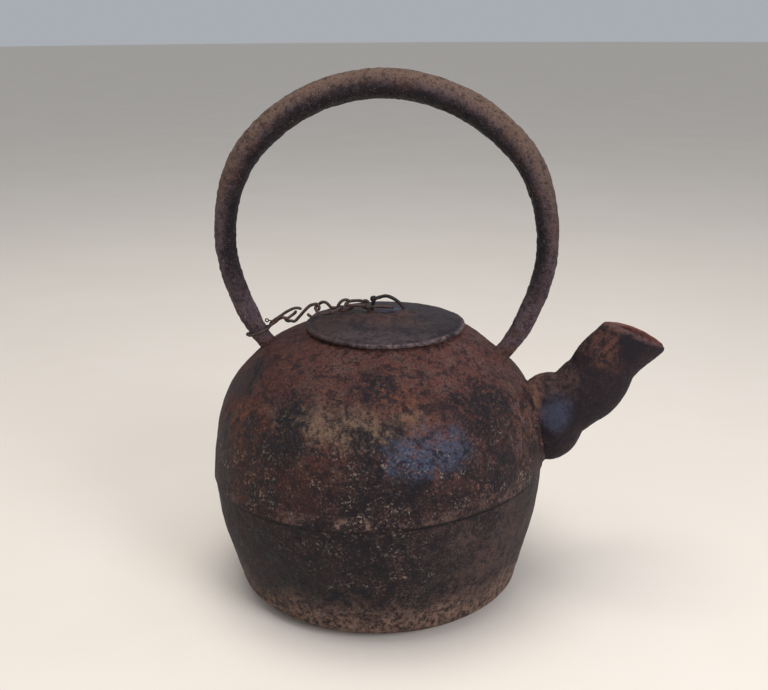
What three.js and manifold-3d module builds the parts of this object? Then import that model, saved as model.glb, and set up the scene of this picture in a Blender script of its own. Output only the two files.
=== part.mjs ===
// A cast iron kettle: a round-bellied pot with a flattened double-bulged spout, a hoop handle that
// stands over the mouth, a shallow domed lid, and a chain of hand-bent wire links that ties the lid
// to one leg of the handle.
//
// Units are millimetres. Z is up and z = 0 is the table. The origin is the centre of the base, the
// spout points along +X, and the handle, the chain and the spout all lie in the plane y = 0.

import * as THREE from 'three';
import { mergeVertices } from 'three/addons/utils/BufferGeometryUtils.js';
import Module from 'manifold-3d';

const wasm = await Module();
wasm.setup();

// ---------------------------------------------------------------------------------------------
// Driving dimensions

const GAP = 0.3;                  // left between pieces that touch on the real kettle

const BELLY_RADIUS = 121.4;       // widest part of the pot, at the parting seam
const BASE_RADIUS = 76;           // flat disc that the kettle stands on
const HEEL = { radius: 104.8, height: 13.5 };   // top of the rounded corner above the base
const SEAM_HEIGHT = 93.6;         // mould parting line round the belly
const SEAM_STEP = 0.8;            // the upper half of the mould sat this much proud
const SEAM_SLOPE = Math.tan(THREE.MathUtils.degToRad(2.6));   // the seam climbs toward the spout
const WALL = 4;
const FLOOR = 5;

const MOUTH_X = 5.5;              // mouth and lid stand this far toward the spout
const RIM = { inner: 48, outer: 54, top: 195.4, depth: 6 };

const LID = { radius: 57.4, edgeTop: 198.3, dome: 7, sheet: 2.5 };
const FLANGE = { outer: 46, inner: 43.8, bottom: 188 };

const HOOP = { x: 5, z: 250 };    // centre of the hoop
// How far the middle of the bar is from that centre, every 30 degrees down from the top. It is
// nearly a circle, a little full at the shoulders, with straighter legs.
const HOOP_RADII = [114, 114.6, 116.6, 113.1, 110.2, 111.5];
const HOOP_SPOUT_SIDE = [0, 0, 0, 0, 0.8, 0.4];   // the spout's side is this much further out
const HOOP_TOP_RADIUS = 10.2;     // thickness of the grip
const HOOP_SIDE_RADIUS = 7.6;     // level with the hoop's centre
const HOOP_FOOT_RADIUS = 6.3;
const HOOP_END_ANGLE = 136;       // degrees from the top to the end of each leg, inside the pot

const BULB = { x: 124, z: 130.2, along: 26, across: 17, up: 33.6 };
const SPOUT_WALL = 3.6;
const LIP_HEEL = { x: 162.8, z: 201.3 };
const LIP_TIP = { x: 202, z: 186 };

const WIRE = 1.05;                // radius of the chain and staple wire
const COLLAR_WIRE = 0.9;
const EYE = 2.6;                  // radius of a hooked eye, to the middle of its wire

// Where each link meets the next one: the wire of one link crosses here along Y, and the eye of
// its neighbour goes round it.
const CROSSINGS = {
  one: { x: -64.6, z: 199.2 },
  two: { x: -44.6, z: 207.4 },
  three: { x: -25.6, z: 208.2 },
  four: { x: -22.8, z: 210.2 },
  five: { x: -8.4, z: 210.8 },
};

// ---------------------------------------------------------------------------------------------
// Materials

const blackIron = { roughness: 0.62, metalness: 0.75 };
const materials = {
  pot: new THREE.MeshStandardMaterial({ color: 0x4a3b34, ...blackIron }),
  spout: new THREE.MeshStandardMaterial({ color: 0x3d3a3d, ...blackIron }),
  hoop: new THREE.MeshStandardMaterial({ color: 0x40343a, ...blackIron }),
  lid: new THREE.MeshStandardMaterial({ color: 0x55504f, roughness: 0.55, metalness: 0.75 }),
  wire: new THREE.MeshStandardMaterial({ color: 0x4b3d37, roughness: 0.5, metalness: 0.8 }),
};

// ---------------------------------------------------------------------------------------------
// Helpers

function toSolid(geometry) {
  const bare = geometry.clone();
  bare.deleteAttribute('normal');
  bare.deleteAttribute('uv');
  const merged = mergeVertices(bare, 1e-3);
  const index = merged.index.array;
  const triVerts = [];
  for (let i = 0; i < index.length; i += 3) {
    const [a, b, c] = [index[i], index[i + 1], index[i + 2]];
    if (a !== b && b !== c && c !== a) triVerts.push(a, b, c);
  }
  return new wasm.Manifold(new wasm.Mesh({
    numProp: 3,
    vertProperties: merged.attributes.position.array,
    triVerts: Uint32Array.from(triVerts),
  }));
}

function toMesh(name, solid, material) {
  const { vertProperties, triVerts } = solid.getMesh();
  const geometry = new THREE.BufferGeometry();
  geometry.setAttribute('position', new THREE.BufferAttribute(vertProperties, 3));
  geometry.setIndex(new THREE.BufferAttribute(triVerts, 1));
  geometry.computeVertexNormals();
  const mesh = new THREE.Mesh(geometry, material);
  mesh.name = name;
  return mesh;
}

// A solid of revolution round the Z axis, from [radius, height] pairs that start and end on it.
function turned(profile, segments) {
  const points = profile.map(([radius, height]) => new THREE.Vector2(radius, height));
  return new THREE.LatheGeometry(points, segments).rotateX(Math.PI / 2);
}

// A round wire along a smooth curve through [x, y, z] points.
function wire(points, radius, steps) {
  const circle = new THREE.Shape().absarc(0, 0, radius, 0, 2 * Math.PI);
  const path = new THREE.CatmullRomCurve3(points.map((p) => new THREE.Vector3(...p)));
  return new THREE.ExtrudeGeometry(circle, {
    steps, curveSegments: 4, bevelEnabled: false, extrudePath: path,
  });
}

// A closed tube that follows a curve in the plane y = 0. sizeAt(t) gives its half thickness in
// that plane and its half width along Y. It is a capped cylinder, bent to the curve.
function bent(curve, sizeAt, steps, sides) {
  const geometry = new THREE.CylinderGeometry(1, 1, 1, sides, steps);
  const position = geometry.attributes.position;
  for (let i = 0; i < position.count; i += 1) {
    const t = THREE.MathUtils.clamp(position.getY(i) + 0.5, 0, 1);
    const centre = curve.getPointAt(t);
    const along = curve.getTangentAt(t);
    const { inPlane, across } = sizeAt(t);
    const out = new THREE.Vector3(-along.z, 0, along.x).multiplyScalar(position.getX(i) * inPlane);
    const y = position.getZ(i) * across;
    position.setXYZ(i, centre.x + out.x, centre.y + y, centre.z + out.z);
  }
  return geometry;
}

// Values at even steps along a length, joined by straight lines.
function between(values, t) {
  const place = t * (values.length - 1);
  const start = Math.min(Math.floor(place), values.length - 2);
  return THREE.MathUtils.lerp(values[start], values[start + 1], place - start);
}

// Points of an eye round a crossing, in the plane y = 0, from one angle to another in degrees
// (0 is toward +X, 90 is up).
function eye(crossing, from, to, count) {
  return Array.from({ length: count }, (_, i) => {
    const angle = THREE.MathUtils.degToRad(THREE.MathUtils.lerp(from, to, i / (count - 1)));
    return [crossing.x + EYE * Math.cos(angle), 0, crossing.z + EYE * Math.sin(angle)];
  });
}

// ---------------------------------------------------------------------------------------------
// Pot: one casting, with the parting seam of its two-part mould round the belly

const BELLY_BELOW_SEAM = new THREE.SplineCurve([
  new THREE.Vector2(HEEL.radius, HEEL.height),
  new THREE.Vector2(111.3, 38.5),
  new THREE.Vector2(117, 61.6),
  new THREE.Vector2(BELLY_RADIUS - SEAM_STEP, SEAM_HEIGHT - 0.4),
]);

const SHOULDER = new THREE.SplineCurve([
  new THREE.Vector2(BELLY_RADIUS, SEAM_HEIGHT + 0.4),
  new THREE.Vector2(119.6, 111.6),
  new THREE.Vector2(115.2, 134.7),
  new THREE.Vector2(107.3, 153.9),
  new THREE.Vector2(94, 169.3),
  new THREE.Vector2(78, 182.8),
  new THREE.Vector2(58.4, 192.4),
  new THREE.Vector2(RIM.outer, 194.4),
]);

// Points of a curve, moved inward by a distance.
function inset(curve, distance, count) {
  return Array.from({ length: count + 1 }, (_, i) => {
    const point = curve.getPointAt(i / count);
    const along = curve.getTangentAt(i / count);
    return [point.x - along.y * distance, point.y + along.x * distance];
  });
}

// The rounded corner above the base, a quarter of an ellipse; shrink makes room for a wall.
function heelArc(shrink, count) {
  return Array.from({ length: count + 1 }, (_, i) => {
    const angle = (i / count) * Math.PI / 2;
    const across = HEEL.radius - BASE_RADIUS - shrink / 2;
    const up = HEEL.height - shrink / 2;
    return [
      BASE_RADIUS - shrink / 2 + across * Math.sin(angle),
      HEEL.height + shrink / 2 - up * Math.cos(angle),
    ];
  });
}

// The seam isn't level: it climbs toward the spout, and the wall beside it goes with it.
function tiltSeam(geometry) {
  const position = geometry.attributes.position;
  const reach = SEAM_HEIGHT - HEEL.height;
  for (let i = 0; i < position.count; i += 1) {
    const z = position.getZ(i);
    const share = Math.max(0, 1 - Math.abs(z - SEAM_HEIGHT) / reach);
    position.setZ(i, z + position.getX(i) * SEAM_SLOPE * share);
  }
  return geometry;
}

const POT_SEGMENTS = 56;

function potOuter() {
  const profile = [
    [0, 0],
    ...heelArc(0, 5),
    ...inset(BELLY_BELOW_SEAM, 0, 4).slice(1),
    ...inset(SHOULDER, 0, 12),
  ];
  profile.push([RIM.outer, RIM.top], [0, RIM.top]);
  return toSolid(tiltSeam(turned(profile, POT_SEGMENTS)));
}

function potCavity() {
  const neck = RIM.top - RIM.depth;
  const profile = [
    [0, FLOOR],
    ...heelArc(WALL, 4).map(([radius, height]) => [radius, Math.max(height, FLOOR)]),
    ...inset(BELLY_BELOW_SEAM, WALL, 3).slice(1),
    ...inset(SHOULDER, WALL, 9).slice(1, -1).filter(([, height]) => height < neck),
    [RIM.inner, neck],
    [0, neck],
  ];
  return toSolid(tiltSeam(turned(profile, POT_SEGMENTS)));
}

// The mouth is bored through the crown, its centre a little toward the spout.
function mouthBore() {
  const length = 20;
  const bore = new THREE.CylinderGeometry(RIM.inner, RIM.inner, length, POT_SEGMENTS);
  return toSolid(bore.rotateX(Math.PI / 2).translate(MOUTH_X, 0, RIM.top - RIM.depth));
}

// ---------------------------------------------------------------------------------------------
// Spout: a bulb that grows out of the belly, and a flattened beak that grows out of the bulb

function bulb(grow) {
  return toSolid(new THREE.SphereGeometry(1, 24, 16)
    .rotateX(Math.PI / 2)
    .scale(BULB.along + grow, BULB.across + grow, BULB.up + grow)
    .translate(BULB.x, 0, BULB.z));
}

const BEAK_LINE = new THREE.CatmullRomCurve3([
  new THREE.Vector3(126, 0, 126),
  new THREE.Vector3(142.1, 0, 144.3),
  new THREE.Vector3(155.7, 0, 158.9),
  new THREE.Vector3(163, 0, 173.5),
  new THREE.Vector3(174.3, 0, 186),
  new THREE.Vector3(186.4, 0, 197.6),
  new THREE.Vector3(194.6, 0, 206.5),
]);
const BEAK_DEPTH = [19, 22.2, 25.7, 23, 21.8, 22.2, 21.8];
const BEAK_WIDTH = [14, 15.5, 15, 14, 13, 12.2, 12];

function beak(grow) {
  const sizeAt = (t) => ({
    inPlane: between(BEAK_DEPTH, t) + grow,
    across: between(BEAK_WIDTH, t) + grow,
  });
  return toSolid(bent(BEAK_LINE, sizeAt, 16, 24));
}

// Everything past the slanted lip.
function pastLip() {
  const size = 90;
  const slope = Math.atan2(LIP_HEEL.z - LIP_TIP.z, LIP_TIP.x - LIP_HEEL.x);
  return toSolid(new THREE.BoxGeometry(size, size, size)
    .translate(0, 0, size / 2)
    .rotateY(slope)
    .translate((LIP_HEEL.x + LIP_TIP.x) / 2, 0, (LIP_HEEL.z + LIP_TIP.z) / 2));
}

function spout(cavity) {
  const outside = bulb(0).add(beak(0));
  const passage = bulb(-SPOUT_WALL).add(beak(-SPOUT_WALL));
  return outside.subtract(passage).subtract(cavity).subtract(pastLip());
}

// ---------------------------------------------------------------------------------------------
// Handle: a forged hoop, thick in the grip and thinner down the legs, which are cast into the
// shoulder of the pot

const HOOP_ANGLES = [...HOOP_RADII.keys()].map((i) => Math.min(30 * i, HOOP_END_ANGLE));

// One side of the hoop, from the top down: side is 1 toward the spout and -1 toward the chain.
function hoopSide(side) {
  return HOOP_RADII.map((radius, i) => {
    const reach = radius + (side > 0 ? HOOP_SPOUT_SIDE[i] : 0);
    const angle = THREE.MathUtils.degToRad(HOOP_ANGLES[i]);
    const x = HOOP.x + side * reach * Math.sin(angle);
    return new THREE.Vector3(x, 0, HOOP.z + reach * Math.cos(angle));
  });
}

const HOOP_LINE = new THREE.CatmullRomCurve3([...hoopSide(-1).reverse(), ...hoopSide(1).slice(1)]);

// The bar thins from the grip to its sides, and again where it meets the pot; degrees from the top.
function hoopRadius(fromTop) {
  const side = THREE.MathUtils.smoothstep(fromTop, 40, 95);
  const foot = THREE.MathUtils.smoothstep(fromTop, 114, 128);
  return HOOP_TOP_RADIUS
    - side * (HOOP_TOP_RADIUS - HOOP_SIDE_RADIUS)
    - foot * (HOOP_SIDE_RADIUS - HOOP_FOOT_RADIUS);
}

function hoop(grow) {
  const sizeAt = (t) => {
    const radius = hoopRadius(Math.abs(2 * t - 1) * HOOP_END_ANGLE) + grow;
    return { inPlane: radius, across: radius };
  };
  return toSolid(bent(HOOP_LINE, sizeAt, 52, 16));
}

// ---------------------------------------------------------------------------------------------
// Lid: a shallow dome of sheet iron with a locating flange under it

function domeHeight(radius) {
  return LID.edgeTop + LID.dome * (1 - (radius / LID.radius) ** 2);
}

function lidDisc() {
  const upper = [0, 12, 24, 36, 48, LID.radius].map((radius) => [radius, domeHeight(radius)]);
  const lower = [LID.radius, 52, FLANGE.outer].map((radius) => [radius, domeHeight(radius) - LID.sheet]);
  const inside = [FLANGE.inner, 30, 15, 0].map((radius) => [radius, domeHeight(radius) - LID.sheet]);
  const profile = [
    ...upper,
    ...lower,
    [FLANGE.outer, FLANGE.bottom],
    [FLANGE.inner, FLANGE.bottom],
    ...inside,
  ];
  return toSolid(turned(profile.reverse(), 48).translate(MOUTH_X, 0, 0));
}

// A wire staple through the lid, its tails bent outward underneath, with a knot of wire at the
// shoulder nearer the chain.
const STAPLE_LINE = [
  [-15, 0, 199.9],
  [-7.6, 0, 200.1],
  [-5.2, 0, 202.4],
  [-4.2, 0, 206],
  [-3.2, 0, 211],
  [-1.8, 0, 214.6],
  [1.8, 0, 216.2],
  [6.6, 0, 217.2],
  [12, 0, 215.2],
  [16.8, 0, 211.4],
  [19.8, 0, 207.2],
  [20.9, 0, 202.6],
  [23, 0, 200],
  [30, 0, 199.4],
];
const KNOT = { x: -2.8, z: 215, radius: 2 };

function staple(grow) {
  const knot = new THREE.SphereGeometry(KNOT.radius + grow, 12, 8).translate(KNOT.x, 0, KNOT.z);
  return toSolid(wire(STAPLE_LINE, WIRE + grow, 36)).add(toSolid(knot));
}

// ---------------------------------------------------------------------------------------------
// Chain: a wire collar round one leg of the handle, then five hand-bent links to the staple

// The wire on the chain-side leg goes once round it. Its two strands then run together up to the
// chain, where one ends in a straight tail and the other in the hook that holds the first link.
const COLLAR = { x: -86.9, z: 188.7, radius: 8.1, slope: THREE.MathUtils.degToRad(20), knot: 1.6 };

const { one: C1, two: C2, three: C3, four: C4, five: C5 } = CROSSINGS;

// The strands keep to either side of the plane that the first link swings in.
const UPPER_STRAND = [
  [-55.6, 3, 204.8],
  [-57.8, 3.2, 205.6],
  [-60.6, 3.2, 205.5],
  [-63.8, 3.2, 204.2],
  [-67.4, 3.2, 202.2],
  [-71.2, 3, 199.8],
  [-75, 2.6, 196.7],
  [-78, 2.6, 194.3],
];

const LOWER_STRAND = [
  [-77.8, -1.6, 194.5],
  [-74.7, -1.6, 196.9],
  [-70.8, -2.2, 199.1],
  [-67.4, -2.9, 200.1],
  [C1.x - 0.4, -2.2, C1.z + 0.2],
  [C1.x, 0, C1.z],
  [C1.x + 0.6, 2.2, C1.z + 0.2],
  [-62.2, 3.3, 200.6],
  [-60.2, 3.3, 202.4],
  [-60.4, 3.1, 203.8],
];

// Points round the leg in the collar's own plane, from one angle to another in degrees: 0 is
// toward the chain and 270 the side away from +Y.
function roundLeg(from, to, count) {
  return Array.from({ length: count }, (_, i) => {
    const angle = THREE.MathUtils.degToRad(THREE.MathUtils.lerp(from, to, i / (count - 1)));
    const u = COLLAR.radius * Math.cos(angle);
    return [
      COLLAR.x + u * Math.cos(COLLAR.slope),
      COLLAR.radius * Math.sin(angle),
      COLLAR.z + u * Math.sin(COLLAR.slope),
    ];
  });
}

function collar() {
  const line = [...UPPER_STRAND, ...roundLeg(25, 335, 14), ...LOWER_STRAND];
  const [knotX, , knotZ] = roundLeg(180, 180, 2)[0];
  const knot = new THREE.SphereGeometry(COLLAR.knot, 12, 8).translate(knotX - 0.8, 0, knotZ - 0.2);
  return toSolid(wire(line, COLLAR_WIRE, 90)).add(toSolid(knot));
}

const LINK_LINES = {
  // an S hook that stands on edge
  link_1: [
    ...eye(C1, 178, 300, 5),
    [-60.4, 0, 196.7],
    [-57.2, 0, 199.8],
    [-52.4, 0, 205.2],
    [-48.8, 0, 208.6],
    ...eye(C2, 115, -60, 6),
  ],
  // a loop lying on the lid, its back wire arched up, one tail turned out toward the rim
  link_2: [
    [-50, -4.8, 204],
    [-47.4, -5.4, 202.2],
    [-44.6, -5.1, 202],
    [-43, -3.4, 204.2],
    [C2.x, -1.4, C2.z - 0.1],
    [C2.x, 1.4, C2.z + 0.1],
    [-43.4, 3.6, 208.4],
    [-41.2, 4.3, 210],
    [-38.6, 4.5, 210.3],
    [-36.2, 4.3, 208.8],
    [-34, 4, 206.6],
    [-30, 3.7, 206.6],
    [-27.2, 2.8, 207.6],
    [C3.x, 0, C3.z],
    [-27.2, -2.8, 207.6],
    [-29.8, -3.8, 206.4],
    [-33, -4.5, 205.1],
    [-37, -4.5, 204.2],
    [-40.2, -4.5, 203.8],
  ],
  // a small open ring on edge
  link_3: [
    [-16.9, 0, 208.8],
    [-19.8, 0, 206.9],
    [-23.8, 0, 205.5],
    [-27.2, 0, 205.8],
    [-28.4, 0, 208.2],
    [-27, 0, 211.2],
    [-24.6, 0, 213.2],
    [-21.8, 0, 213.6],
    [-19.8, 0, 212.6],
  ],
  // a flat oval
  link_4: [
    [-16, 4.8, 212],
    [-11.6, 4.1, 211.9],
    [C5.x, 0, C5.z],
    [-11.4, -4.2, 211],
    [-15.6, -4.9, 211.2],
    [-20, -4, 210.8],
    [C4.x, 0, C4.z],
    [-21.6, 3.4, 211],
    [-19.4, 4.5, 211.6],
  ],
  // an eye on edge, then a flat loop through the staple
  link_5: [
    ...eye(C5, 20, 265, 7),
    [-6.6, -2.2, 208.4],
    [-3.4, -4.3, 210],
    [2.6, -4.8, 210.7],
    [8.2, -4.2, 210.5],
    [10.8, -1, 209.2],
    [9.6, 3, 208.2],
    [4.6, 4.8, 207.8],
    [-1, 4.9, 207.8],
    [-5.4, 4.5, 208],
  ],
};

const LINK_STEPS = { link_1: 36, link_2: 44, link_3: 26, link_4: 30, link_5: 42 };

// ---------------------------------------------------------------------------------------------
// Assembly

const cavity = potCavity();
const pot = potOuter()
  .subtract(cavity)
  .subtract(mouthBore())
  .subtract(bulb(GAP))
  .subtract(hoop(GAP));

const kettle = new THREE.Group();
kettle.add(toMesh('kettle_body', pot, materials.pot));
kettle.add(toMesh('spout', spout(cavity), materials.spout));
kettle.add(toMesh('handle_hoop', hoop(0), materials.hoop));

const lid = new THREE.Group();
lid.add(toMesh('lid', lidDisc().subtract(staple(GAP)), materials.lid));
lid.add(toMesh('lid_staple', staple(0), materials.wire));
kettle.add(lid);

const chain = new THREE.Group();
chain.add(toMesh('handle_collar', collar(), materials.wire));
for (const [name, line] of Object.entries(LINK_LINES)) {
  chain.add(toMesh(name, toSolid(wire(line, WIRE, LINK_STEPS[name])), materials.wire));
}
kettle.add(chain);

export default kettle;
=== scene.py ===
"""A cast iron kettle with a hoop handle, a sheet-iron lid and a hand-bent wire chain.

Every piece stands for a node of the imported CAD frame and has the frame's axes: the spout points
along +X and Z is up. Shapes are worked out in millimetres and become metres with their mesh.
"""

import itertools
import math

import bpy
import numpy as np
from mathutils import Matrix, Vector


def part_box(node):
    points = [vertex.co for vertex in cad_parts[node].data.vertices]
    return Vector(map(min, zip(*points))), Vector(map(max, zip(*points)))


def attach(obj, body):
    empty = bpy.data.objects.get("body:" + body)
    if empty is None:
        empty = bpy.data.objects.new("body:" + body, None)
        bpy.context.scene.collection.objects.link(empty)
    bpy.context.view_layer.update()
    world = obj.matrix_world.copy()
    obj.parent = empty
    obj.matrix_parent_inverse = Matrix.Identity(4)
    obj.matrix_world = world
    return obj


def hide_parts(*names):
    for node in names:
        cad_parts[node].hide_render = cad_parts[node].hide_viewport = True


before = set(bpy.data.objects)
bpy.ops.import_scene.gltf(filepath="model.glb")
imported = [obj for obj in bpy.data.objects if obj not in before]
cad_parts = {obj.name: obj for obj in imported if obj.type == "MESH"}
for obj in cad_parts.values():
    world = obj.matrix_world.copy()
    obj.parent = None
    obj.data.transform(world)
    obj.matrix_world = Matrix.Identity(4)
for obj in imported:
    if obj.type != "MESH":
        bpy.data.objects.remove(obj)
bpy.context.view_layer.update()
MM = 0.001


def millimetres(node):
    """The lowest and highest corner of a CAD node."""
    return [np.array(corner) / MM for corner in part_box(node)]


# ---------- Driving dimensions in millimetres, from the frame where it has them

POT_HIGH = millimetres("kettle_body")[1]
LID_LOW, LID_HIGH = millimetres("lid")
HOOP_TOP = millimetres("handle_hoop")[1][2]

BELLY = POT_HIGH[1]                       # radius at the parting seam
RIM_TOP = POT_HIGH[2]
RIM_RADIUS = 52
MOUTH_RADIUS = 48
WALL = 4
FLOOR = 5
HEEL_RADIUS = 104.8                       # where the bowl turns in to its base
HEEL_HEIGHT = 13.5
BASE_RADIUS = 76
SEAM_HEIGHT = 93.6
SEAM_SLOPE = math.tan(math.radians(2.6))  # the seam climbs toward the spout

LID_RADIUS = LID_HIGH[1]
LID_DOME = 7
LID_SHEET = 2.5
LID_EDGE = LID_HIGH[2] - LID_DOME
MOUTH_X = (LID_LOW[0] + LID_HIGH[0]) / 2  # the mouth stands this far toward the spout
FLANGE_RADIUS = 46
FLANGE_SHEET = 2.2
FLANGE_TOP = 194
FLANGE_FOOT = 188

# Outer wall as (radius, height), below and above the seam.
BELOW_SEAM = [
    (HEEL_RADIUS, HEEL_HEIGHT),
    (111.3, 38.5),
    (117, 61.6),
    (BELLY - 0.8, SEAM_HEIGHT - 0.4),
]
ABOVE_SEAM = [
    (BELLY, SEAM_HEIGHT + 0.4),
    (119.6, 111.6), (115.2, 134.7), (107.3, 153.9), (94, 169.3), (78, 182.8), (58.4, 192.4),
    (54, RIM_TOP - 1),
]

HOOP_RADII = [114, 114.6, 116.6, 113.1, 110.2, 111.5]   # every 30 degrees down from the top
HOOP_SPOUT_SIDE = [0, 0, 0, 0, 0.8, 0.4]                # more than that on the spout's side
HOOP_END_ANGLE = 136
HOOP_TOP_RADIUS = 10.2                                  # of the bar itself
HOOP_SIDE_RADIUS = 7.6
HOOP_FOOT_RADIUS = 6.3
HOOP_X = 5
HOOP_Z = HOOP_TOP - HOOP_TOP_RADIUS - HOOP_RADII[0]

# The beak's middle line, and its half thickness along the kettle and across it at each point.
BULB_CENTRE = np.array([124, 0, 130.2])
BULB_SIZE = np.array([26, 17, 33.6])
BEAK_LINE = [
    (126, 0, 126), (142.1, 0, 144.3), (155.7, 0, 158.9), (163, 0, 173.5), (174.3, 0, 186),
    (186.4, 0, 197.6), (194.6, 0, 206.5),
]
BEAK_DEPTH = [19, 22.2, 24.6, 23, 21.8, 22.2, 21.8]
BEAK_WIDTH = [14, 15.5, 15, 14, 12.6, 11, 10.6]
SPOUT_WALL = 3.6
HOLE_STEP = 0.2                           # the hole in the pot is this much inside the passage
HEEL_THICKENING = 3.4                     # the wall behind the lip's heel is thicker by twice this
LIP_HEEL = np.array([162.8, 0, 201.3])
LIP_TIP = np.array([202, 0, 186])
LIP_BOW = 2.2

WIRE = 1.2                                # radii of the bent wires
STAPLE_WIRE = 1.35
COLLAR_WIRE = 1.15
EYE = 2.6


# ---------- Helpers for shapes

def smoothstep(value, low, high):
    """0 below low, 1 above high, and a smooth rise between them."""
    share = np.clip((value - low) / (high - low), 0, 1)
    return share * share * (3 - 2 * share)


def noise(points, size, seed):
    """Smooth noise from about -1 to 1 at (n, 3) points, with lumps about size across."""
    table = 32
    slopes = np.random.default_rng(seed).normal(size=(table, table, table, 3))
    slopes /= np.linalg.norm(slopes, axis=-1, keepdims=True)
    place = points / size
    cell = np.floor(place).astype(int)
    part = place - cell
    fade = part ** 3 * (part * (part * 6 - 15) + 10)
    total = np.zeros(len(points))
    for corner in itertools.product((0, 1), repeat=3):
        slope = slopes[tuple(((cell + corner) % table).T)]
        weight = np.where(corner, fade, 1 - fade).prod(axis=1)
        total += weight * ((part - corner) * slope).sum(axis=1)
    return 1.6 * total


def pits(points, size, seed, share):
    """0 to 1: hollows about size across that cover roughly this share of the surface."""
    return smoothstep(noise(points, size, seed), 0.75 - share, 1.1 - share)


def smooth_line(points, count):
    """count points, evenly spaced along the centripetal curve through the points."""
    given = np.array(points, float)
    given = np.vstack([2 * given[0] - given[1], given, 2 * given[-1] - given[-2]])
    fine = []
    share = np.linspace(0, 1, 24, endpoint=False)[:, None]
    for before, start, end, after in zip(given, given[1:], given[2:], given[3:]):
        steps = (start - before, end - start, after - end)
        first, middle, last = (math.sqrt(np.linalg.norm(step)) for step in steps)
        out = (start - before) / first - (end - before) / (first + middle) + (end - start) / middle
        into = (end - start) / middle - (after - start) / (middle + last) + (after - end) / last
        out = out * middle
        into = into * middle
        cube = 2 * start - 2 * end + out + into
        square = -3 * start + 3 * end - 2 * out - into
        fine.append(((cube * share + square) * share + out) * share + start)
    fine = np.vstack([*fine, given[-2:-1]])
    along = np.concatenate([[0], np.cumsum(np.linalg.norm(np.diff(fine, axis=0), axis=1))])
    wanted = np.linspace(0, along[-1], count)
    return np.stack([np.interp(wanted, along, fine[:, axis]) for axis in range(fine.shape[1])], axis=1)


def add_object(name, data):
    made = bpy.data.objects.new(name, data)
    bpy.context.scene.collection.objects.link(made)
    return made


def make_solid(name, points, faces):
    """A plain mesh object from points in millimetres."""
    mesh = bpy.data.meshes.new(name)
    mesh.from_pydata((np.array(points) * MM).tolist(), [], faces)
    mesh.update()
    return add_object(name, mesh)


def make_piece(name, points, faces, body, nodes, slot, material):
    """A smooth mesh from points in millimetres, riding on a body in place of its CAD nodes."""
    piece = make_solid(name, points, faces)
    finish_piece(piece, body, nodes, material)
    return piece


def finish_piece(piece, body, nodes, material):
    """Gives a piece its material and body, and hides the CAD nodes it stands for."""
    piece.data.materials.clear()
    piece.data.materials.append(material)
    piece.data.shade_smooth()
    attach(piece, body)
    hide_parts(*nodes)


def ring_faces(rings, around):
    """Quads between neighbouring rings of points, each of which closes on itself."""
    faces = []
    for low in range(0, (rings - 1) * around, around):
        high = low + around
        for i in range(around):
            j = (i + 1) % around
            faces.append((low + i, low + j, high + j, high + i))
    return faces


def capped(rings, around):
    """Faces of a tube that is closed by a flat end across its first and its last ring."""
    start = tuple(reversed(range(around)))
    end = tuple(range((rings - 1) * around, rings * around))
    return [*ring_faces(rings, around), start, end]


def turned(profile, around, centre):
    """Points of a turned surface from (radius, height) pairs; centre(height) is its middle's x."""
    angles = np.linspace(0, 2 * np.pi, around, endpoint=False)
    rings = []
    for radius, height in profile:
        x = centre(height) + radius * np.cos(angles)
        rings.append(np.stack([x, radius * np.sin(angles), np.full(around, float(height))], axis=1))
    return np.vstack(rings)


def side_vectors(line):
    """Two unit vectors square to the line at each of its points, that don't twist along it."""
    along = np.gradient(line, axis=0)
    along /= np.linalg.norm(along, axis=1, keepdims=True)
    side = np.cross(along[0], (0, 1, 0))
    if np.linalg.norm(side) < 0.1:
        side = np.cross(along[0], (0, 0, 1))
    sides = []
    for direction in along:
        side = side - direction * (side @ direction)
        side = side / np.linalg.norm(side)
        sides.append(side)
    sides = np.array(sides)
    return sides, np.cross(along, sides)


def tube(line, depth, width, around):
    """Rings of points round a line. depth and width are half thicknesses, per point of the line."""
    sides, ups = side_vectors(line)
    angles = np.linspace(0, 2 * np.pi, around, endpoint=False)
    across = np.cos(angles)[None, :, None] * sides[:, None, :] * np.reshape(depth, (-1, 1, 1))
    up = np.sin(angles)[None, :, None] * ups[:, None, :] * np.reshape(width, (-1, 1, 1))
    return (line[:, None, :] + across + up).reshape(-1, 3)


def wire_mesh(line, radius, seed, around=12, step=0.45):
    """Points and faces of one bent wire, a little uneven and rounded off at its cut ends."""
    length = np.linalg.norm(np.diff(np.array(line, float), axis=0), axis=1).sum()
    middle = smooth_line(line, max(12, int(length / step)))
    from_end = np.minimum(np.arange(len(middle)), np.arange(len(middle))[::-1]) * step
    size = radius * np.sqrt(np.clip(1 - (1 - np.clip(from_end / (0.7 * radius), 0, 1)) ** 2, 0.12, 1))
    size = size * (1 + 0.05 * noise(middle, 2.5, seed) - 0.03)
    points = tube(middle, size, size, around)
    centres = np.repeat(middle, around, axis=0)
    outward = (points - centres) / np.linalg.norm(points - centres, axis=1, keepdims=True)
    points = points + outward * (0.05 * noise(points, 0.9, seed + 1) - 0.03)[:, None]
    return points, capped(len(middle), around)


def joined(meshes):
    """One list of points and one of faces from several."""
    points, faces = [], []
    for more_points, more_faces in meshes:
        start = sum(len(p) for p in points)
        points.append(more_points)
        faces.extend(tuple(start + i for i in face) for face in more_faces)
    return np.vstack(points), faces


# ---------- Materials: layers of colour, gloss and relief, laid out in the piece's own space

def colour(red, green, blue):
    """A linear colour from display values of 0 to 255."""
    return tuple(((v / 255 + 0.055) / 1.055) ** 2.4 for v in (red, green, blue)) + (1.0,)


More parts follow.
